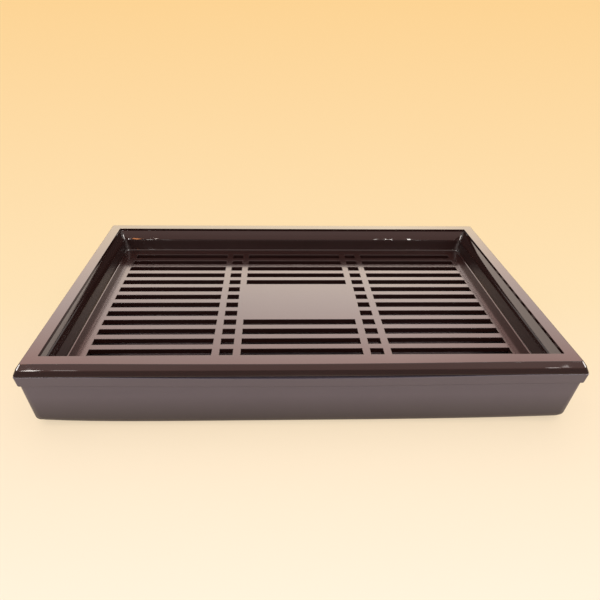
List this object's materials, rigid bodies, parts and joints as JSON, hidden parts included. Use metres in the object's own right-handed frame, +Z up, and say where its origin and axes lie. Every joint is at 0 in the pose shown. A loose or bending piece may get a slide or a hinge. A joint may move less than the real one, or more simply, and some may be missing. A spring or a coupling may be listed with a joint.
{
  "type": "two-tier tea tray",
  "caption": "Rectangular dark plastic tea tray: a slatted draining tray with a flat rim and a bare centre panel rests on a deep water basin with rounded lower edges.",
  "frame": {"origin": "on the table, under the middle of the basin", "axes": "+X along the long side to the right as the picture shows it, +Y from the front edge to the back edge, +Z up"},
  "size_m": [0.44, 0.282, 0.0615],
  "materials": {
    "tray_plastic": "semi-gloss dark brown",
    "basin_plastic": "satin dark brown",
    "foot_rubber": "matt"
  },
  "bodies": {
    "basin": {"water_basin": "basin_plastic", "foot_front_left": "foot_rubber", "foot_front_right": "foot_rubber", "foot_back_left": "foot_rubber", "foot_back_right": "foot_rubber"},
    "tray": {"slatted_tray": "tray_plastic"}
  },
  "joints": [
    {"name": "tray_lift", "type": "slide", "parent": "basin", "child": "tray", "axis": [0, 0, 1], "range_m": [0, 0.06]}
  ]
}
